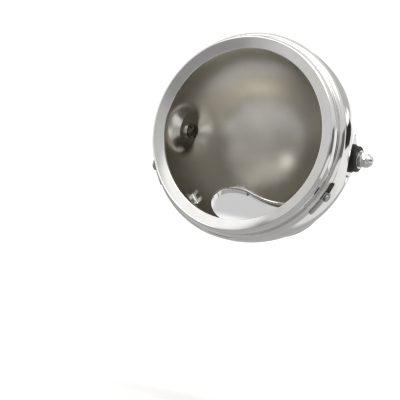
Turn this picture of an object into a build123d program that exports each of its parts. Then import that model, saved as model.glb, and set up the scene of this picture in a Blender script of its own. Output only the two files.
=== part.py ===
import os
from math import acos, atan2, cos, degrees, hypot, radians, sin, sqrt, tan

from build123d import *

# Empty round headlight housing for a motorcycle: a deep drawn bucket, its trim ring,
# the two side bolts that hang it between fork brackets, and the small inner metalwork.
# Millimetres. X runs across the bike, the beam leaves along -Y and Z is up.
# The origin is where the side bolt axis crosses the beam axis.
# Depths are counted back from the plane of the ring's inner edge.

# Trim ring, one pressed sheet
lens_opening_diameter = 165.0
ring_face_width = 13.5        # from the opening to the outside of the skirt
ring_sheet = 0.8
ring_face_rake = 2.6          # the crest stands this far in front of the inner edge
ring_shoulder_radius = 3.6
ring_lip_length = 3.0
ring_skirt_depth = 9.0

# Bucket, one drawn sheet
bucket_step_height = 5.0      # the bucket stands this far outside the ring's skirt
bucket_sheet = 1.0
bucket_band_width = 9.3       # straight band between the shoulder and the dome
shoulder_bend_radius = 2.2
ring_fit_gap = 0.4            # between the neck and the ring's skirt
ring_seat_gap = 0.3           # between the skirt's end and the shoulder
neck_front_depth = 1.5

# Side bolt seat, a flat pressed into each cheek of the bucket
bolt_depth = 60.3
seat_diameter = 37.0
seat_inset_depth = 12.0       # of the flat, below the bucket's widest point
seat_draft_angle = 24.0

# Side bolt hardware
bolt_diameter = 8.0
bolt_head_across_flats = 13.0
bolt_head_height = 5.3
bolt_tip_chamfer = 0.8
bolt_hole_clearance = 0.25
inner_washer_diameter = 16.0
inner_washer_thickness = 1.6
spacer_flange_diameter = 27.5
spacer_flange_thickness = 4.4
spacer_body_diameter = 25.0
spacer_body_thickness = 5.2
spacer_edge_radius = 1.0
flat_washer_diameter = 18.0
flat_washer_thickness = 1.6
spring_washer_diameter = 14.4
spring_washer_thickness = 2.0
spring_washer_split = 1.4
spring_washer_lean = 25.0     # slant of the split
cap_nut_across_flats = 13.0
cap_nut_hex_height = 6.0
cap_nut_height = 11.1
cap_nut_end_wall = 2.0
bolt_tip_clearance = 0.8
hex_corner_angle = 30.0
hex_flat_share = 0.95         # round face of a hexagon's end, as a share of its flats

# Wiring opening in the lower rear of the bucket
cable_opening_width = 113.0
cable_opening_height = 48.0
cable_opening_dip = 2.0       # the rear edge bows inwards by this much at its middle
cable_opening_angle = 45.0    # below the horizontal
cable_lip_height = 4.5
cable_lip_bend_radius = 1.5

# Slots and brackets that hold the ring, one on each lower side
slot_start_angle = 52.0       # clock angles from straight down
slot_end_angle = 73.0
slot_width = 7.6
slot_corner_radius = 2.0
bracket_start_angle = 53.0
bracket_end_angle = 67.0
bracket_sheet = 1.2
bracket_gap = 0.3
bracket_leg_width = 12.0
bracket_screw_diameter = 4.0
bracket_screw_head_diameter = 7.6
bracket_screw_head_height = 2.0
bracket_screw_clearance = 0.15
bracket_washer_length = 9.0
bracket_washer_overlap = 1.5  # past each edge of the slot
bracket_washer_thickness = 1.0
bracket_washer_gap = 0.1

# Cable clip on the inner wall, a folded tab with two prongs
clip_clock_angle = -44.0
clip_back_angle = 18.5        # behind the dome's centre plane
clip_width = 12.0
clip_base_length = 8.0
clip_prong_height = 8.0
clip_prong_width = 3.6
clip_notch_depth = 5.4
clip_sheet = 0.8
clip_bend_radius = 1.2
clip_wall_gap = 0.15

# Worked out from the sizes above
face_y = -bolt_depth
opening_radius = lens_opening_diameter / 2
skirt_radius = opening_radius + ring_face_width
skirt_inner_radius = skirt_radius - ring_sheet
neck_radius = skirt_inner_radius - ring_fit_gap
neck_inner_radius = neck_radius - bucket_sheet
bucket_radius = skirt_radius + bucket_step_height
cavity_radius = bucket_radius - bucket_sheet
neck_front_y = face_y + neck_front_depth
shoulder_y = face_y + ring_skirt_depth + ring_seat_gap + shoulder_bend_radius
band_front_y = shoulder_y + shoulder_bend_radius + bucket_sheet
dome_y = band_front_y + bucket_band_width
slot_front_y = shoulder_y + bucket_sheet + bracket_gap
slot_y = slot_front_y + slot_width / 2
slot_back_y = slot_front_y + slot_width
slot_root_radius = bucket_radius - 2 * shoulder_bend_radius
seat_x = bucket_radius - seat_inset_depth
seat_inner_x = seat_x - bucket_sheet
hole_diameter = bolt_diameter + 2 * bolt_hole_clearance


def ring_of_revolution(profile, start_angle=90.0, sweep=360.0):
    # start_angle is a clock angle from straight down; the sweep runs on towards +X and up
    turned = revolve(profile, axis=Axis.Y, revolution_arc=sweep)
    return Rot(0, 90.0 - start_angle - (0 if sweep == 360.0 else sweep), 0) * turned


def curved_plate(radius_in, radius_out, y_front, y_back, start_angle, end_angle):
    middle = ((radius_in + radius_out) / 2, (y_front + y_back) / 2)
    section = Pos(*middle) * Rectangle(radius_out - radius_in, y_back - y_front)
    return ring_of_revolution(section, start_angle, end_angle - start_angle)


def across(x_from, x_to, diameter):
    # a round bar along X
    disc = Plane.YZ.offset(x_from) * Circle(diameter / 2)
    return extrude(disc, amount=x_to - x_from)


def hexagon_bar(x_from, x_to, across_flats):
    corners = RegularPolygon(across_flats / 2, 6, major_radius=False)
    return extrude(Plane.YZ.offset(x_from) * corners, amount=x_to - x_from)


def outer_edge(bar):
    # the edge round the far end of a bar along X
    return bar.edges().sort_by(Axis.X)[-1]


def washer(x_from, thickness, diameter):
    x_to = x_from + thickness
    return across(x_from, x_to, diameter) - across(x_from, x_to, hole_diameter)


def trim_ring():
    crest_y = face_y - ring_face_rake
    crest_radius = skirt_radius - ring_shoulder_radius
    inner_crest = ring_shoulder_radius - ring_sheet
    lip_end_y = face_y + ring_lip_length
    skirt_end_y = face_y + ring_skirt_depth
    shoulder_end_y = crest_y + ring_shoulder_radius
    rake_angle = atan2(ring_face_rake, crest_radius - opening_radius)
    lip_corner = ring_sheet * tan((radians(90.0) - rake_angle) / 2)
    crest_arc = CenterArc((crest_radius, shoulder_end_y), ring_shoulder_radius, 0, -90)
    under_arc = CenterArc((crest_radius, shoulder_end_y), inner_crest, -90, 90)
    outside = [
        Line((opening_radius, lip_end_y), (opening_radius, face_y)),
        Line((opening_radius, face_y), (crest_radius, crest_y)),
        crest_arc,
        Line((skirt_radius, shoulder_end_y), (skirt_radius, skirt_end_y)),
    ]
    inside = [
        Line((skirt_radius, skirt_end_y), (skirt_inner_radius, skirt_end_y)),
        Line((skirt_inner_radius, skirt_end_y), (skirt_inner_radius, shoulder_end_y)),
        under_arc,
        Line((crest_radius, crest_y + ring_sheet), (opening_radius + ring_sheet, face_y + lip_corner)),
        Line((opening_radius + ring_sheet, face_y + lip_corner), (opening_radius + ring_sheet, lip_end_y)),
        Line((opening_radius + ring_sheet, lip_end_y), (opening_radius, lip_end_y)),
    ]
    return ring_of_revolution(make_face(outside + inside))


def bowl_form(neck, shoulder, radius, neck_bend, band_bend):
    # the solid inside one skin of the bucket
    corners = [(neck, neck_front_y), (neck, shoulder), (radius, shoulder), (radius, dome_y)]
    wall = FilletPolyline(*corners, radius=[neck_bend, band_bend])
    dome = CenterArc((0, dome_y), radius, 0, 90)
    closing = [
        Line((0, dome_y + radius), (0, neck_front_y)),
        Line((0, neck_front_y), (neck, neck_front_y)),
    ]
    return ring_of_revolution(make_face([wall, dome] + closing))


def seat_cone(x_flat, flat_radius, side):
    # side 1 opens outwards for the sunk part of the seat, side -1 opens inwards for the raised part
    far_radius = flat_radius + seat_diameter * tan(radians(seat_draft_angle))
    near = Plane.YZ.offset(x_flat) * Circle(flat_radius)
    far = Plane.YZ.offset(x_flat + side * seat_diameter) * Circle(far_radius)
    return loft([near, far] if side > 0 else [far, near])


def both_sides(solid):
    return [solid, mirror(solid, about=Plane.YZ)]


def opening_outline(grow):
    # a bean: two round ends, a straight front edge and a rear edge that bows in, all tangent
    end_radius = cable_opening_height / 2
    end_x = (cable_opening_width - cable_opening_height) / 2
    bow_radius = (end_x**2 + cable_opening_dip**2) / (2 * cable_opening_dip) - end_radius
    bow_y = bow_radius + end_radius - cable_opening_dip
    bow_angle = degrees(atan2(end_x, bow_y))
    grown = end_radius + grow
    front = Line((-end_x, -grown), (end_x, -grown))
    right_end = CenterArc((end_x, 0), grown, -90, 180 + bow_angle)
    rear = CenterArc((0, bow_y), bow_radius - grow, bow_angle - 90, -2 * bow_angle)
    left_end = CenterArc((-end_x, 0), grown, 90 - bow_angle, 180 + bow_angle)
    return make_face([front, right_end, rear, left_end])


def add_opening(form, radius, grow, end_radius, bend_radius):
    # a post of the opening's outline out to a sphere, with its foot rounded where it leaves the dome
    tilt = radians(cable_opening_angle)
    aim = Plane((0, dome_y, 0), x_dir=(-1, 0, 0), z_dir=(0, cos(tilt), -sin(tilt)))
    reach = Pos(0, dome_y, 0) * Sphere(end_radius)
    post = extrude(aim * opening_outline(grow), amount=end_radius) & reach

    def at_foot(edge):
        spots = [edge @ share - aim.origin for share in (0.1, 0.5, 0.9)]
        on_dome = all(abs(spot.length - radius) < bucket_sheet / 100 for spot in spots)
        return on_dome and spots[1].dot(aim.z_dir) > radius / 2

    form += post
    return fillet(form.edges().filter_by(at_foot), bend_radius)


def bucket():
    tight = shoulder_bend_radius
    wide = shoulder_bend_radius + bucket_sheet
    outer = bowl_form(neck_radius, shoulder_y, bucket_radius, tight, wide)
    cavity = bowl_form(neck_inner_radius, shoulder_y + bucket_sheet, cavity_radius, wide, tight)

    # wiring opening with its edge turned outwards
    lip_end = bucket_radius + cable_lip_height
    bend = cable_lip_bend_radius
    outer = add_opening(outer, bucket_radius, bucket_sheet, lip_end, bend)
    cavity = add_opening(cavity, cavity_radius, 0, lip_end + bucket_sheet, bend + bucket_sheet)

    # bolt seats, sunk at the front and raised at the rear
    draft = radians(seat_draft_angle)
    seat_radius = seat_diameter / 2
    skin_step = bucket_sheet * (1 - sin(draft)) / cos(draft)
    for cone in both_sides(seat_cone(seat_x, seat_radius, -1)):
        outer += cone
    for cone in both_sides(seat_cone(seat_x, seat_radius, 1)):
        outer -= cone
    for cone in both_sides(seat_cone(seat_inner_x, seat_radius - skin_step, -1)):
        cavity += cone
    for cone in both_sides(seat_cone(seat_inner_x, seat_radius + skin_step, 1)):
        cavity -= cone
    shell = outer - cavity

    # bolt holes, and slots that start on the shoulder's bend
    shell -= across(-bucket_radius, bucket_radius, hole_diameter)
    slot_top_radius = bucket_radius + bucket_sheet
    slot_reach = slot_top_radius - slot_root_radius
    slot_span = (slot_start_angle, slot_end_angle)
    slot = curved_plate(slot_root_radius, slot_top_radius, slot_front_y, slot_back_y, *slot_span)
    corners = slot.edges().filter_by(lambda edge: abs(edge.length - slot_reach) < bucket_sheet / 100)
    for cutter in both_sides(fillet(corners, slot_corner_radius)):
        shell -= cutter
    return shell


def hex_corner_cone(x_from, x_to, across_flats, rounded_at_far_end):
    # a turned form that takes the sharp corners off one end of a hexagon
    corner_radius = across_flats / 2 / cos(radians(30.0))
    flat_radius = across_flats / 2 * hex_flat_share
    drop = (corner_radius - flat_radius) * tan(radians(hex_corner_angle))
    far, near = (x_to, x_from) if rounded_at_far_end else (x_from, x_to)
    step = drop if rounded_at_far_end else -drop
    points = [(near, 0), (near, corner_radius), (far - step, corner_radius), (far, flat_radius), (far, 0)]
    return revolve(make_face(Polyline(*points, close=True)), axis=Axis.X)


def mount_bolt(head_seat_x, tip_x):
    head_x = head_seat_x - bolt_head_height
    head = hexagon_bar(head_x, head_seat_x, bolt_head_across_flats)
    head &= hex_corner_cone(head_x, head_seat_x, bolt_head_across_flats, False)
    shank = across(head_seat_x - bolt_head_height / 2, tip_x, bolt_diameter)
    return head + chamfer(outer_edge(shank), bolt_tip_chamfer)


def rubber_spacer(x_from):
    flange_x = x_from + spacer_flange_thickness
    end_x = flange_x + spacer_body_thickness
    flange = across(x_from, flange_x, spacer_flange_diameter)
    body = across(x_from, end_x, spacer_body_diameter)
    rounded = fillet(outer_edge(flange), spacer_edge_radius) + fillet(outer_edge(body), spacer_edge_radius)
    return rounded - across(x_from, end_x, hole_diameter)


def spring_washer(x_from):
    ring = washer(x_from, spring_washer_thickness, spring_washer_diameter)
    cutter = Box(4 * spring_washer_thickness, spring_washer_diameter, spring_washer_split)
    middle = Pos(x_from + spring_washer_thickness / 2, spring_washer_diameter / 2, 0)
    return ring - middle * Rot(0, spring_washer_lean, 0) * cutter


def cap_nut(x_from):
    hex_end_x = x_from + cap_nut_hex_height
    tip_x = x_from + cap_nut_height
    blind_x = tip_x - cap_nut_end_wall
    hexagon = hexagon_bar(x_from, hex_end_x, cap_nut_across_flats)
    hexagon &= hex_corner_cone(x_from, hex_end_x, cap_nut_across_flats, True)
    crown_radius = cap_nut_across_flats / 2 * hex_flat_share
    crown_rise = cap_nut_height - cap_nut_hex_height
    ball_radius = (crown_radius**2 + crown_rise**2) / (2 * crown_rise)
    ball_x = tip_x - ball_radius
    crown = make_face([
        CenterArc((ball_x, 0), ball_radius, 0, degrees(acos((hex_end_x - ball_x) / ball_radius))),
        Line((hex_end_x, crown_radius), (hex_end_x, 0)),
        Line((hex_end_x, 0), (tip_x, 0)),
    ])
    return hexagon + revolve(crown, axis=Axis.X) - across(x_from, blind_x, hole_diameter)


def side_hardware():
    # the right hand set, from the bolt head inside the bucket out to the cap nut
    head_seat_x = seat_inner_x - inner_washer_thickness
    flat_washer_x = seat_x + spacer_flange_thickness + spacer_body_thickness
    spring_washer_x = flat_washer_x + flat_washer_thickness
    cap_nut_x = spring_washer_x + spring_washer_thickness
    tip_x = cap_nut_x + cap_nut_height - cap_nut_end_wall - bolt_tip_clearance
    return {
        "mount_bolt": mount_bolt(head_seat_x, tip_x),
        "inner_washer": washer(head_seat_x, inner_washer_thickness, inner_washer_diameter),
        "rubber_spacer": rubber_spacer(seat_x),
        "flat_washer": washer(flat_washer_x, flat_washer_thickness, flat_washer_diameter),
        "spring_washer": spring_washer(spring_washer_x),
        "cap_nut": cap_nut(cap_nut_x),
    }


def screw_bar(radius_from, radius_to, diameter, angle):
    # a round bar along a radius of the bucket at the slot's depth
    bar = Pos(0, slot_y, 0) * across(radius_from, radius_to, diameter)
    return Rot(0, 90.0 - angle, 0) * bar


def ring_hardware():
    # the right hand bracket, its screw and its clamp washer
    plate_out = cavity_radius - bracket_gap
    plate_in = plate_out - bracket_sheet
    leg_out = neck_inner_radius - bracket_gap
    leg_in = leg_out - bracket_sheet
    plate_front_y = slot_front_y + bracket_gap
    leg_front_y = face_y - ring_face_rake + ring_sheet + 2 * bracket_gap
    leg_middle = (bracket_start_angle + bracket_end_angle) / 2
    leg_half = degrees(bracket_leg_width / 2 / neck_radius)
    leg_span = (leg_middle - leg_half, leg_middle + leg_half)
    washer_half = degrees(bracket_washer_length / 2 / bucket_radius)
    screw_angle = bracket_end_angle - washer_half

    plate_span = (bracket_start_angle, bracket_end_angle)
    riser_back_y = plate_front_y + bracket_sheet
    plate = curved_plate(plate_in, plate_out, plate_front_y, slot_back_y, *plate_span)
    riser = curved_plate(leg_in, plate_out, plate_front_y, riser_back_y, *leg_span)
    leg = curved_plate(leg_in, leg_out, leg_front_y, riser_back_y, *leg_span)
    tapped = bracket_screw_diameter + 2 * bracket_screw_clearance
    bracket = plate + riser + leg - screw_bar(plate_in - bracket_sheet, bucket_radius, tapped, screw_angle)

    washer_in = bucket_radius + bracket_washer_gap
    washer_out = washer_in + bracket_washer_thickness
    clamp_front_y = slot_front_y - bracket_washer_overlap
    clamp_back_y = slot_back_y + bracket_washer_overlap
    clamp_span = (screw_angle - washer_half, screw_angle + washer_half)
    clamp = curved_plate(washer_in, washer_out, clamp_front_y, clamp_back_y, *clamp_span)
    clamp -= screw_bar(cavity_radius, washer_out + bracket_sheet, tapped, screw_angle)

    head_x = washer_out + bracket_washer_gap
    head_end = head_x + bracket_screw_head_height
    head = screw_bar(head_x, head_end, bracket_screw_head_diameter, screw_angle)
    shank = screw_bar(plate_in - bracket_sheet, head_end, bracket_screw_diameter, screw_angle)
    return {"ring_bracket": bracket, "bracket_washer": clamp, "bracket_screw": head + shank}


def cable_clip():
    # a strip folded up from the wall; the base lies along the wall and the prongs point inwards
    clock = radians(clip_clock_angle)
    back = radians(clip_back_angle)
    outwards = (cos(back) * sin(clock), sin(back), -cos(back) * cos(clock))
    wall = Plane((0, dome_y, 0), x_dir=(cos(clock), 0, sin(clock)), z_dir=outwards)
    side_on = Plane(wall.origin, x_dir=wall.y_dir, z_dir=wall.x_dir)
    half_length = clip_base_length / 2
    corner_reach = hypot(half_length, clip_width / 2)
    base = sqrt((cavity_radius - clip_wall_gap) ** 2 - corner_reach**2) - clip_sheet / 2
    tip = base - clip_prong_height
    corners = [(half_length, base), (-half_length, base), (-half_length, tip)]
    strip = FilletPolyline(*corners, radius=clip_bend_radius)
    folded = extrude(side_on * trace(strip, clip_sheet), amount=clip_width / 2, both=True)
    notch = Box(clip_width - 2 * clip_prong_width, clip_base_length, 2 * clip_notch_depth)
    return folded - wall * Pos(0, -half_length, tip) * notch


nodes = {"bucket": bucket(), "trim_ring": trim_ring(), "cable_clip": cable_clip()}
for name, solid in (side_hardware() | ring_hardware()).items():
    right, left = both_sides(solid)
    nodes[f"right_{name}"] = right
    nodes[f"left_{name}"] = left

os.makedirs("parts", exist_ok=True)
for name, solid in nodes.items():
    export_step(solid, f"parts/{name}.step")
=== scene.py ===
from math import cos, hypot, pi, radians, sin, sqrt

import bmesh
import bpy
from mathutils import Matrix, Vector


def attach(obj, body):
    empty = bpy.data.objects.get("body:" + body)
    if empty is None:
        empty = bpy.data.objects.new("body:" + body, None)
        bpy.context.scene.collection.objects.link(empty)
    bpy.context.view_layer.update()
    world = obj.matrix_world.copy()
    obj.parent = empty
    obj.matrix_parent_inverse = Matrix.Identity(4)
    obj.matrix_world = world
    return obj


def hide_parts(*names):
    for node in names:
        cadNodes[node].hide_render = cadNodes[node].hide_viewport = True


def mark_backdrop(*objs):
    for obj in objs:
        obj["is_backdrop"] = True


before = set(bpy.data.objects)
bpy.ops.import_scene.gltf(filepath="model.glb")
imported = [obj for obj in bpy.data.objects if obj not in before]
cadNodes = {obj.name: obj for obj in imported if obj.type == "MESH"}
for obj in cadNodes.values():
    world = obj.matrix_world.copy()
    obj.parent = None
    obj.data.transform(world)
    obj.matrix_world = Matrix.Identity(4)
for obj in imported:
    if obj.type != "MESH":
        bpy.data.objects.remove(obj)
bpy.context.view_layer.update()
mm = 0.001
print("frame loaded:", len(cadNodes), "nodes")


# shared helpers

def linearColour(hexText):
    parts = [int(hexText[i:i + 2], 16) / 255 for i in (1, 3, 5)]
    return [c / 12.92 if c <= 0.04045 else ((c + 0.055) / 1.055) ** 2.4 for c in parts] + [1.0]


def addNode(tree, kind, settings=None, links=None):
    node = tree.nodes.new(kind)
    for name, value in (settings or {}).items():
        if name in node.inputs.keys() or isinstance(name, int):
            node.inputs[name].default_value = value
        else:
            setattr(node, name, value)
    for name, source in (links or {}).items():
        tree.links.new(source, node.inputs[name])
    return node


def setStops(ramp, stops):
    while len(ramp.elements) < len(stops):
        ramp.elements.new(1.0)
    for element, (place, colour) in zip(ramp.elements, stops):
        element.position = place
        element.color = linearColour(colour) if isinstance(colour, str) else [colour] * 3 + [1.0]


def newMaterial(name):
    material = bpy.data.materials.new(name)
    material.use_nodes = True
    return material, material.node_tree, material.node_tree.nodes["Principled BSDF"]


def bumpsPerMetre(size):  # noise scale for blotches of this size, in metres
    return 1.0 / size


def roundedLoop(corners, fineness=6):
    # corners are (along, radius, curve length before it, and after it if that differs)
    points = []
    for i, (along, radius, *reach) in enumerate(corners):
        here = Vector((along, radius))
        before, after = (Vector(corners[j % len(corners)][:2]) for j in (i - 1, i + 1))
        start = here + (before - here).normalized() * reach[0]
        end = here + (after - here).normalized() * reach[-1]
        for step in range(fineness + 1):
            share = step / fineness
            points.append(start * (1 - share) ** 2 + here * 2 * share * (1 - share) + end * share ** 2)
    return points


def addLathe(bm, corners, steps):
    # a turned ring: the closed profile goes once round the beam axis
    verts = [bm.verts.new((p.y * mm, p.x * mm, 0)) for p in roundedLoop(corners)]
    edges = [bm.edges.new((verts[i - 1], verts[i])) for i in range(len(verts))]
    bmesh.ops.spin(bm, geom=verts + edges, cent=(0, 0, 0), axis=(0, 1, 0), angle=2 * pi, steps=steps,
                   use_merge=True)


def finishPiece(name, bm, materials, node, crease=35.0, weld=0.0005):
    bmesh.ops.remove_doubles(bm, verts=bm.verts, dist=weld * mm)
    bmesh.ops.recalc_face_normals(bm, faces=bm.faces)
    mesh = bpy.data.meshes.new(name)
    bm.to_mesh(mesh)
    bm.free()
    if "custom_normal" in mesh.attributes:  # left over from a copied mesh
        mesh.attributes.remove(mesh.attributes["custom_normal"])
    for material in materials:
        mesh.materials.append(material)
    mesh.shade_smooth()
    mesh.set_sharp_from_angle(angle=radians(crease))
    piece = bpy.data.objects.new(name, mesh)
    bpy.context.collection.objects.link(piece)
    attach(piece, "root")
    if node:
        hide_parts(node)
    return piece


# materials

def chromePlate():
    # bright chrome over pressed steel: a near mirror with a faint waviness and polishing haze
    material, tree, shader = newMaterial("chromePlateOnSteel")
    place = addNode(tree, "ShaderNodeTexCoord").outputs["Object"]
    wave = addNode(tree, "ShaderNodeTexNoise", {"Scale": bumpsPerMetre(60 * mm), "Detail": 1.0},
                   {"Vector": place})
    haze = addNode(tree, "ShaderNodeTexNoise", {"Scale": bumpsPerMetre(12 * mm), "Detail": 4.0},
                   {"Vector": place})
    tone = addNode(tree, "ShaderNodeValToRGB", None, {"Fac": haze.outputs["Fac"]})
    setStops(tone.color_ramp, [(0.3, "#DEDDDA"), (0.7, "#E5E4E2")])
    gloss = addNode(tree, "ShaderNodeMapRange", {"To Min": 0.02, "To Max": 0.06},
                    {"Value": haze.outputs["Fac"]})
    bump = addNode(tree, "ShaderNodeBump", {"Strength": 0.2, "Distance": 0.2 * mm},
                   {"Height": wave.outputs["Fac"]})
    shader.inputs["Metallic"].default_value = 1.0
    tree.links.new(tone.outputs["Color"], shader.inputs["Base Color"])
    tree.links.new(gloss.outputs["Result"], shader.inputs["Roughness"])
    tree.links.new(bump.outputs["Normal"], shader.inputs["Normal"])
    return material


def satinNickel():
    # the unpolished inside: thin nickel over drawn steel, warm and grey, with a soft blurred reflection
    material, tree, shader = newMaterial("satinNickelInside")
    place = addNode(tree, "ShaderNodeTexCoord").outputs["Object"]
    stain = addNode(tree, "ShaderNodeTexNoise", {"Scale": bumpsPerMetre(30 * mm), "Detail": 5.0},
                    {"Vector": place})
    grain = addNode(tree, "ShaderNodeTexNoise", {"Scale": bumpsPerMetre(1.2 * mm), "Detail": 3.0},
                    {"Vector": place})
    tone = addNode(tree, "ShaderNodeValToRGB", None, {"Fac": stain.outputs["Fac"]})
    setStops(tone.color_ramp, [(0.3, "#EBE7DF"), (0.7, "#F3F0E9")])
    lean = addNode(tree, "ShaderNodeVectorMath", {"operation": "DOT_PRODUCT", 1: (-0.35, 0, 1)}, {0: place})
    height = addNode(tree, "ShaderNodeMapRange", {"From Min": -95 * mm, "From Max": 45 * mm},
                     {"Value": lean.outputs["Value"]})
    # painted shade: the base colour is darker towards the bottom and full at the top
    paintedShade = addNode(tree, "ShaderNodeValToRGB", None, {"Fac": height.outputs["Result"]})
    setStops(paintedShade.color_ramp, [(0.25, "#A3A099"), (0.51, "#AEABA5"), (0.66, "#B8B5AF"), (0.74, "#C8C5BF"),
                               (0.81, "#E6E4E0"), (0.9, "#FFFFFF")])
    # the painted shade multiplies the nickel tone
    shadedTone = addNode(tree, "ShaderNodeMix", {"data_type": "RGBA", "blend_type": "MULTIPLY", 0: 1.0},
                     {6: tone.outputs["Color"], 7: paintedShade.outputs["Color"]})
    gloss = addNode(tree, "ShaderNodeMapRange", {"To Min": 0.26, "To Max": 0.31},
                    {"Value": stain.outputs["Fac"]})
    bump = addNode(tree, "ShaderNodeBump", {"Strength": 0.1, "Distance": 0.05 * mm},
                   {"Height": grain.outputs["Fac"]})
    shader.inputs["Metallic"].default_value = 1.0
    tree.links.new(shadedTone.outputs[2], shader.inputs["Base Color"])
    tree.links.new(gloss.outputs["Result"], shader.inputs["Roughness"])
    tree.links.new(bump.outputs["Normal"], shader.inputs["Normal"])
    return material


def zincPlate():
    # bright zinc on the fasteners: pale grey, a little cloudy
    material, tree, shader = newMaterial("brightZincPlate")
    place = addNode(tree, "ShaderNodeTexCoord").outputs["Object"]
    cloud = addNode(tree, "ShaderNodeTexNoise", {"Scale": bumpsPerMetre(3 * mm), "Detail": 4.0},
                    {"Vector": place})
    tone = addNode(tree, "ShaderNodeValToRGB", None, {"Fac": cloud.outputs["Fac"]})
    setStops(tone.color_ramp, [(0.3, "#C2C2C0"), (0.7, "#DCDCDA")])
    gloss = addNode(tree, "ShaderNodeMapRange", {"To Min": 0.08, "To Max": 0.2},
                    {"Value": cloud.outputs["Fac"]})
    shader.inputs["Metallic"].default_value = 1.0
    tree.links.new(tone.outputs["Color"], shader.inputs["Base Color"])
    tree.links.new(gloss.outputs["Result"], shader.inputs["Roughness"])
    return material


def dullZinc():
    # zinc gone dull on the ring brackets: grey and nearly matt
    material, tree, shader = newMaterial("dullZincPlate")
    place = addNode(tree, "ShaderNodeTexCoord").outputs["Object"]
    cloud = addNode(tree, "ShaderNodeTexNoise", {"Scale": bumpsPerMetre(2 * mm), "Detail": 5.0},
                    {"Vector": place})
    tone = addNode(tree, "ShaderNodeValToRGB", None, {"Fac": cloud.outputs["Fac"]})
    setStops(tone.color_ramp, [(0.3, "#8C8D8A"), (0.7, "#A9AAA7")])
    shader.inputs["Metallic"].default_value = 1.0
    shader.inputs["Roughness"].default_value = 0.38
    tree.links.new(tone.outputs["Color"], shader.inputs["Base Color"])
    return material


def blackSteel():
    # blackened bolt steel, worn a little bright
    material, tree, shader = newMaterial("blackenedBoltSteel")
    place = addNode(tree, "ShaderNodeTexCoord").outputs["Object"]
    wear = addNode(tree, "ShaderNodeTexNoise", {"Scale": bumpsPerMetre(2.5 * mm), "Detail": 4.0},
                   {"Vector": place})
    tone = addNode(tree, "ShaderNodeValToRGB", None, {"Fac": wear.outputs["Fac"]})
    setStops(tone.color_ramp, [(0.4, "#4A4946"), (0.62, "#B4B2AD")])
    shader.inputs["Metallic"].default_value = 1.0
    shader.inputs["Roughness"].default_value = 0.16
    tree.links.new(tone.outputs["Color"], shader.inputs["Base Color"])
    return material


def mouldedRubber():
    # black moulded rubber: matt, with a fine grain and a dusty bloom
    material, tree, shader = newMaterial("mouldedRubber")
    place = addNode(tree, "ShaderNodeTexCoord").outputs["Object"]
    bloom = addNode(tree, "ShaderNodeTexNoise", {"Scale": bumpsPerMetre(4 * mm), "Detail": 5.0},
                    {"Vector": place})
    tone = addNode(tree, "ShaderNodeValToRGB", None, {"Fac": bloom.outputs["Fac"]})
    setStops(tone.color_ramp, [(0.35, "#101010"), (0.75, "#1E1E1D")])
    grain = addNode(tree, "ShaderNodeTexNoise", {"Scale": bumpsPerMetre(0.6 * mm), "Detail": 2.0},
                    {"Vector": place})
    bump = addNode(tree, "ShaderNodeBump", {"Strength": 0.3, "Distance": 0.1 * mm},
                   {"Height": grain.outputs["Fac"]})
    shader.inputs["Roughness"].default_value = 0.55
    tree.links.new(tone.outputs["Color"], shader.inputs["Base Color"])
    tree.links.new(bump.outputs["Normal"], shader.inputs["Normal"])
    return material


chrome = chromePlate()
nickel = satinNickel()
zinc = zincPlate()
dull = dullZinc()
black = blackSteel()
rubber = mouldedRubber()
print("materials made")


# CAD nodes

finishes = {  # by a part of the node's name; the rest is zinc
    "rubber": rubber, "bracket": dull, "spring_washer": dull, "mount_bolt": black,
    "cap_nut": chrome, "trim": chrome, "bucket": chrome,
}
for nodeName in cadNodes:
    nodeSlots = cadNodes[nodeName].data.materials
    nodeSlots.clear()
    nodeSlots.append(next((finishes[key] for key in finishes if key in nodeName), zinc))
print("CAD nodes dressed")


# trim ring

trimRing = {
    "opening": 82.5, "skirt": 96.0, "shoulder": 95.4, "crest": 92.4, "sheet": 0.8,
    "faceY": -60.3, "crestY": -62.9, "lipY": -57.3, "skirtY": -51.3,
    "shoulderReach": 2.6, "shoulderDepth": 9.0, "crestReach": 0.45, "lipReach": 0.8, "edgeReach": 0.25,
    "steps": 320,
}


def makeTrimRing():
    r = trimRing
    inner = r["sheet"]
    corners = [
        (r["lipY"], r["opening"], r["edgeReach"]),
        (r["faceY"], r["opening"], r["lipReach"]),
        (r["crestY"], r["crest"], r["crestReach"]),
        (r["crestY"], r["shoulder"], r["shoulderReach"], r["shoulderDepth"]),
        (r["skirtY"], r["skirt"], r["edgeReach"]),
        (r["skirtY"], r["skirt"] - inner, r["edgeReach"]),
        (r["crestY"] + inner, r["shoulder"] - inner, r["shoulderDepth"] - inner, r["shoulderReach"] - inner),
        (r["crestY"] + inner, r["crest"], r["edgeReach"]),
        (r["faceY"] + inner, r["opening"] + inner, r["edgeReach"]),
        (r["lipY"], r["opening"] + inner, r["edgeReach"]),
    ]
    bm = bmesh.new()
    addLathe(bm, corners, r["steps"])
    return finishPiece("trimRing", bm, [chrome], "trim_ring")


makeTrimRing()
print("trim ring made")


# bucket

bucketShell = {
    "domeY": -36.3, "outerRadius": 101.0, "innerRadius": 100.0, "sheet": 1.0,
    "seatX": 89.0, "flatRadius": 18.5, "draft": 24.0, "softRadius": 33.0,
    "seatFrom": 55.0, "seatReach": 38.0, "seatCuts": 4,  # where the mesh is made finer for the seats
    "neckCentre": (97.0, -51.0), "neckRadius": 2.2, "stepWidth": 1.7,
    "bendCentre": (97.8, -45.6), "bendRadius": 3.2, "bendWidth": 4.4, "bendDepth": 5.3,
    "barrel": 0.15, "bandEdge": 8.0, "bandCuts": 5,
    "lipStart": 0.03, "crease": 28.0, "weld": 0.001,
    "nearBend": 0.03, "nearBand": 0.2, "nearSkin": 0.08,  # how close counts as on it
}


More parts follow.
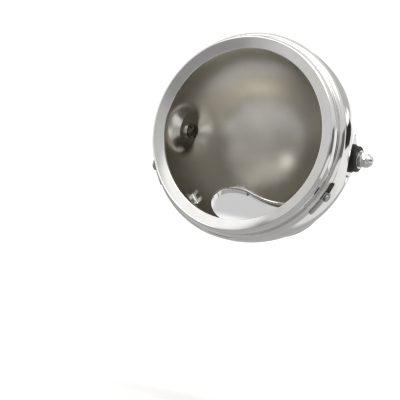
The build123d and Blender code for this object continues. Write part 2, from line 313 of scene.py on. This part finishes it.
def seatHeight(y, z, outside):
    # height of the bowl's skin over the bolt axis: sharp at the flat's edge, easing out into the dome
    b = bucketShell
    radius = b["outerRadius"] if outside else b["innerRadius"]
    seat = b["seatX"] if outside else b["seatX"] - b["sheet"]
    dome = sqrt(radius ** 2 - max(y - b["domeY"], 0) ** 2 - z ** 2)
    step = 0 if outside else b["sheet"] * (1 - sin(radians(b["draft"]))) / cos(radians(b["draft"]))
    edge = b["flatRadius"] + (step if dome > seat else -step)
    share = min(max((hypot(y, z) - edge) / (b["softRadius"] - edge), 0), 1)
    return dome - (dome - seat) * (1 - share) ** 3


def turnedNormal(spot):
    # the true direction of the outer skin on the shoulder and the band, None elsewhere
    b = bucketShell
    away, y = hypot(spot.x, spot.z) / mm, spot.y / mm
    bendX, bendY = b["outerRadius"] - b["bendWidth"] - b["barrel"], b["bendCentre"][1]
    if bendY <= y <= b["domeY"]:
        share = (b["domeY"] - y) / (b["domeY"] - bendY)
        skin = b["outerRadius"] - b["barrel"] * share ** 2
        out, back = 1.0, -2 * b["barrel"] * share / (b["domeY"] - bendY)
    elif bendY - b["bendDepth"] <= y < bendY:
        part = (y - bendY) / b["bendDepth"]
        skin = bendX + b["bendWidth"] * sqrt(1 - part ** 2)
        out, back = (away - bendX) / b["bendWidth"] ** 2, part / b["bendDepth"]
    else:
        return None
    if abs(away - skin) > b["nearSkin"]:
        return None
    return Vector((out * spot.x / (away * mm), back, out * spot.z / (away * mm))).normalized()


def makeBucket():
    b = bucketShell
    bm = bmesh.new()
    bm.from_mesh(cadNodes["bucket"].data)
    bmesh.ops.remove_doubles(bm, verts=bm.verts, dist=b["weld"] * mm)

    def inSeat(vert):
        return abs(vert.co.x) > b["seatFrom"] * mm and hypot(vert.co.y, vert.co.z) < b["seatReach"] * mm

    # the seats run out softly into the dome
    seatFaces = {f for f in bm.faces if all(inSeat(v) for v in f.verts)}
    seatEdges = [e for e in bm.edges if any(f in seatFaces for f in e.link_faces)]
    bmesh.ops.subdivide_edges(bm, edges=seatEdges, cuts=b["seatCuts"], use_grid_fill=True)
    bm.normal_update()
    for vert in bm.verts:
        away = hypot(vert.co.y, vert.co.z) / mm
        if inSeat(vert) and away > b["flatRadius"] - b["sheet"]:
            side = 1 if vert.co.x > 0 else -1
            outside = vert.normal.x * side > 0
            vert.co.x = side * mm * seatHeight(vert.co.y / mm, vert.co.z / mm, outside)

    # the shoulder is one broad curve, from close behind the ring to the band
    neck, bend, near = Vector(b["neckCentre"]), Vector(b["bendCentre"]), b["nearBend"]
    wide, deep = b["bendWidth"] / b["bendRadius"], b["bendDepth"] / b["bendRadius"]
    bendX = bend.x + b["bendRadius"] - b["bendWidth"]
    for vert in bm.verts:
        away = hypot(vert.co.x, vert.co.z)
        spot = Vector((away / mm, vert.co.y / mm))
        onNeck, onBend = spot - neck, spot - bend
        if abs(onNeck.length - b["neckRadius"]) < near and onNeck.x < near and onNeck.y > -near:
            spot = Vector((neck.x - b["neckRadius"] + b["stepWidth"] * onNeck.y / b["neckRadius"], neck.y))
        elif abs(onBend.length - b["bendRadius"]) < near and onBend.x > -near and onBend.y < near:
            spot = Vector((bendX + onBend.x * wide, bend.y + onBend.y * deep))
        vert.co = (vert.co.x * spot.x * mm / away, spot.y * mm, vert.co.z * spot.x * mm / away)

    # the band bellies a little instead of running straight
    bandY, near = bend.y, b["nearBand"]
    bandEdges = [e for e in bm.edges if abs(e.verts[0].co.y - e.verts[1].co.y) > b["bandEdge"] * mm
                 and all(bandY - near < v.co.y / mm < b["domeY"] + near for v in e.verts)]
    bmesh.ops.subdivide_edges(bm, edges=bandEdges, cuts=b["bandCuts"], use_grid_fill=True)
    for vert in bm.verts:
        share = (b["domeY"] - max(vert.co.y / mm, bandY)) / (b["domeY"] - bandY)
        if share > 0:
            away = hypot(vert.co.x, vert.co.z)
            shrink = 1 - b["barrel"] * mm * share ** 2 / away
            vert.co.x *= shrink
            vert.co.z *= shrink

    # the inner skin is plain nickel, the turned out lip is chromed
    domeCentre, lipRadius = Vector((0, b["domeY"] * mm, 0)), b["innerRadius"] + b["lipStart"]
    bm.normal_update()
    for face in bm.faces:
        arm = face.calc_center_median() - domeCentre
        onLip = arm.length > lipRadius * mm and arm.y > 0 and arm.z < -b["seatReach"] * mm
        face.material_index = 1 if face.normal.dot(arm) < 0 and not onLip else 0
    piece = finishPiece("bucketShell", bm, [chrome, nickel], "bucket", b["crease"])

    # a mirror shows every triangle, so the shoulder and the band get their exact normals
    normals = [Vector(corner.vector) for corner in piece.data.corner_normals]
    for loop in piece.data.loops:
        exact = turnedNormal(piece.data.vertices[loop.vertex_index].co)
        if exact and exact.dot(normals[loop.index]) > 0.9:
            normals[loop.index] = exact
    piece.data.normals_split_custom_set(normals)
    return piece


makeBucket()
print("bucket made")


# bracket pads, the part of each ring bracket pressed up into its slot

bracketPad = {
    "innerRadius": 99.7, "outerRadius": 101.4, "front": -48.2, "back": -40.2,
    "startAngle": 52.5, "endAngle": 62.4, "edge": 0.45, "steps": 10,
}


def makePad(name, side):
    p = bracketPad
    bm = bmesh.new()
    ends = [(p[r] * mm, p[y] * mm) for r, y in (("innerRadius", "front"), ("outerRadius", "front"),
                                              ("outerRadius", "back"), ("innerRadius", "back"))]
    turned = Matrix.Rotation(radians(90 - p["startAngle"]), 4, "Y")
    verts = [bm.verts.new(turned @ Vector((r, y, 0))) for r, y in ends]
    section = bm.faces.new(verts)
    bmesh.ops.spin(bm, geom=[section], cent=(0, 0, 0), axis=(0, 1, 0),
                   angle=radians(p["startAngle"] - p["endAngle"]), steps=p["steps"])
    corners = [e for e in bm.edges if e.is_manifold and e.calc_face_angle() > 1.0]
    bmesh.ops.bevel(bm, geom=corners, offset=p["edge"] * mm, segments=3, profile=0.5, affect="EDGES",
                    material=-1)
    if side < 0:
        bmesh.ops.scale(bm, vec=(-1, 1, 1), verts=bm.verts)
    return finishPiece(name, bm, [dull], None)


makePad("rightBracketPad", 1)
makePad("leftBracketPad", -1)
print("bracket pads made")


# studio

studio = {
    "floorHeight": -270 * mm, "floorRadius": 1.1, "floorCentre": (-0.1, 0.35), "floorColour": "#F4F3F1",
    # brightness by height, from straight down to straight up
    "room": [(0.0, 0.45), (0.18, 0.5), (0.33, 0.42), (0.5, 0.52), (0.59, 0.62), (0.67, 0.72), (0.75, 0.8),
             (0.88, 0.88)],
    # panels, in degrees: azimuth from the front, elevation, half width, half height, soft edge,
    # then the brightness, and a lean where there is one
    "panels": [
        (36, -29, 18, 8, 10, 0.54),       # table top under the camera
        (34, -6, 16, 9, 10, 0.37),        # the bench behind the camera
        (36, 25, 22, 11, 8, 0.75),        # dim wall, upper right front
        (-45, 50, 14, 12, 8, 1.9),        # high windows, left and front
        (10, 47, 20, 5, 5, 1.6),
        (-52, 4, 14, 20, 16, 0.72),       # pale wall on the left
        (-76, 8, 9, 22, 8, 1.3),          # window beside it
        (-34, 15, 7, 8, 4, 0.36),         # its dark end
        (-16, 35, 22, 9, 6, 1.2, 15),     # soft box, upper front, and its glow
        (-21, 14, 4, 4, 3.5, 3.4),
        (38, 61, 18, 10, 8, 3.6),         # lamp, upper right front
        (-8, -14, 9, 8, 9, 0.34),         # bench front
        (-108, 0, 4, 30, 4, 0.2),         # dark edge on the left
        (-90, -60, 8, 8, 6, 0.62),        # floor on the left
        (180, 26, 28, 6, 5, 0.55),        # grey wall behind, and its brighter parts
        (184, 11, 17, 5, 4, 1.2),
        (166, -6, 14, 7, 4, 0.95),
        (168, -20, 14, 8, 6, 0.85),
        (-163, -16, 12, 9, 7, 0.44),
        (-66, -58, 6, 8, 2, 0.12),        # dark leg of the table
        (88, -10, 36, 9, 3, 0.9),         # pale table, right
        (86, 10, 34, 9, 4, 0.15, -5),     # dark bench on it
        (141, 5, 8.5, 11, 2, 1.05),       # white screen, right
        (160, 11, 7, 7, 1, 0.03),         # black screen, right rear, with gaps
        (164, 2.4, 10, 8, 0.8, 1.0, -35),
        (160, 18, 1, 9.5, 0.6, 1.3, 71),
    ],
    # what the camera sees behind the object: white paper, with the object's own shade on it
    "paper": 1.1, "paperShade": (-154.6, 2.55, 1.5, 0.75, 0.4, 0.58),
    "lightPlace": (-0.3, 0.2, 1.6), "lightAim": (-0.1, 0.2, -0.27), "lightSize": 1.2, "lightPower": 5.0,
}


def makeFloor():
    mesh = bpy.data.meshes.new("floor")
    bm = bmesh.new()
    spot = Matrix.Translation((*studio["floorCentre"], studio["floorHeight"]))
    bmesh.ops.create_circle(bm, cap_ends=True, segments=96, radius=studio["floorRadius"], matrix=spot)
    bm.to_mesh(mesh)
    bm.free()
    floor = bpy.data.objects.new("floor", mesh)
    bpy.context.collection.objects.link(floor)
    material, tree, shader = newMaterial("paintedFloor")
    shader.inputs["Base Color"].default_value = linearColour(studio["floorColour"])
    shader.inputs["Roughness"].default_value = 0.8
    mesh.materials.append(material)
    floor.visible_glossy = False  # the room's panels are what the chrome shows
    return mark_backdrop(floor)


def addPanel(tree, aim, colour, panel):
    # mixes one soft edged rectangle into the room, as seen from the object
    azimuth, elevation, halfWidth, halfHeight, soft, level, lean = (*panel, 0)[:7]
    turn, lift, lean = radians(azimuth), radians(elevation), radians(lean)
    ahead = Vector((sin(turn) * cos(lift), -cos(turn) * cos(lift), sin(lift)))
    aside = Vector((cos(turn), sin(turn), 0))
    upward = ahead.cross(aside)
    wide, tall = cos(lean) * aside - sin(lean) * upward, sin(lean) * aside + cos(lean) * upward
    mask = addNode(tree, "ShaderNodeVectorMath", {"operation": "DOT_PRODUCT", 1: ahead},
                   {0: aim}).outputs["Value"]
    mask = addNode(tree, "ShaderNodeMath", {"operation": "GREATER_THAN", 1: 0.0}, {0: mask}).outputs[0]
    for axis, half in ((wide, halfWidth), (tall, halfHeight)):
        off = addNode(tree, "ShaderNodeVectorMath", {"operation": "DOT_PRODUCT", 1: axis},
                      {0: aim}).outputs["Value"]
        off = addNode(tree, "ShaderNodeMath", {"operation": "ABSOLUTE"}, {0: off}).outputs[0]
        angle = addNode(tree, "ShaderNodeMath", {"operation": "ARCSINE"}, {0: off}).outputs[0]
        edge = addNode(tree, "ShaderNodeMapRange", {
            "interpolation_type": "SMOOTHSTEP", "From Min": radians(half), "From Max": radians(half + soft),
            "To Min": 1.0, "To Max": 0.0}, {"Value": angle}).outputs["Result"]
        mask = addNode(tree, "ShaderNodeMath", {"operation": "MULTIPLY"}, {0: mask, 1: edge}).outputs[0]
    mixed = addNode(tree, "ShaderNodeMix", {"data_type": "RGBA", 7: (level, level, level, 1.0)},
                    {0: mask, 6: colour})
    return mixed.outputs[2]


def makeWorld():
    world = bpy.data.worlds.new("studio")
    bpy.context.scene.world = world
    world.use_nodes = True
    tree = world.node_tree
    aim = addNode(tree, "ShaderNodeTexCoord").outputs["Generated"]
    split = addNode(tree, "ShaderNodeSeparateXYZ", None, {"Vector": aim})
    lift = addNode(tree, "ShaderNodeMapRange", {"From Min": -1.0, "From Max": 1.0},
                   {"Value": split.outputs["Z"]})
    room = addNode(tree, "ShaderNodeValToRGB", None, {"Fac": lift.outputs["Result"]})
    setStops(room.color_ramp, studio["room"])
    colour = room.outputs["Color"]
    for panel in studio["panels"]:
        colour = addPanel(tree, aim, colour, panel)
    white = addNode(tree, "ShaderNodeRGB")
    white.outputs[0].default_value = [studio["paper"]] * 3 + [1.0]
    paper = addPanel(tree, aim, white.outputs[0], studio["paperShade"])
    seen = addNode(tree, "ShaderNodeLightPath").outputs["Is Camera Ray"]
    whole = addNode(tree, "ShaderNodeMix", {"data_type": "RGBA"}, {0: seen, 6: colour, 7: paper})
    tree.links.new(whole.outputs[2], tree.nodes["Background"].inputs["Color"])


photoView = {  # read from the photograph: degrees, and millimetres from the ring's inner edge plane
    "azimuth": 27.58, "elevation": -2.0, "roll": -12.09,
    "distance": 1422.26 * mm, "aside": 38.82 * mm, "rise": 63.08 * mm,
    "lens": 135.0, "aimY": -60.3 * mm,
}


def makeCamera():
    turn, tilt, roll = (radians(photoView[k]) for k in ("azimuth", "elevation", "roll"))
    back = Vector((sin(turn) * cos(tilt), -cos(turn) * cos(tilt), sin(tilt)))
    level = Vector((cos(turn), sin(turn), 0))
    upright = back.cross(level)
    right = cos(roll) * level - sin(roll) * upright
    up = sin(roll) * level + cos(roll) * upright
    place = Vector((0, photoView["aimY"], 0)) + photoView["distance"] * back
    place -= photoView["aside"] * right + photoView["rise"] * up
    data = bpy.data.cameras.new("photoCamera")
    data.lens = photoView["lens"]
    data.clip_start = 0.05
    camera = bpy.data.objects.new("photoCamera", data)
    camera.matrix_world = Matrix.Translation(place) @ Matrix((right, up, back)).transposed().to_4x4()
    bpy.context.collection.objects.link(camera)
    bpy.context.scene.camera = camera


def makeLight():
    data = bpy.data.lights.new("topLight", "AREA")
    data.shape = "DISK"
    data.size = studio["lightSize"]
    data.energy = studio["lightPower"]
    light = bpy.data.objects.new("topLight", data)
    light.location = studio["lightPlace"]
    light.visible_glossy = False
    aim = Vector(studio["lightAim"]) - Vector(studio["lightPlace"])
    light.rotation_euler = aim.to_track_quat("-Z", "Y").to_euler()
    bpy.context.collection.objects.link(light)


makeFloor()
makeWorld()
makeCamera()
makeLight()
bpy.context.scene.view_settings.view_transform = "Standard"
print("studio set")
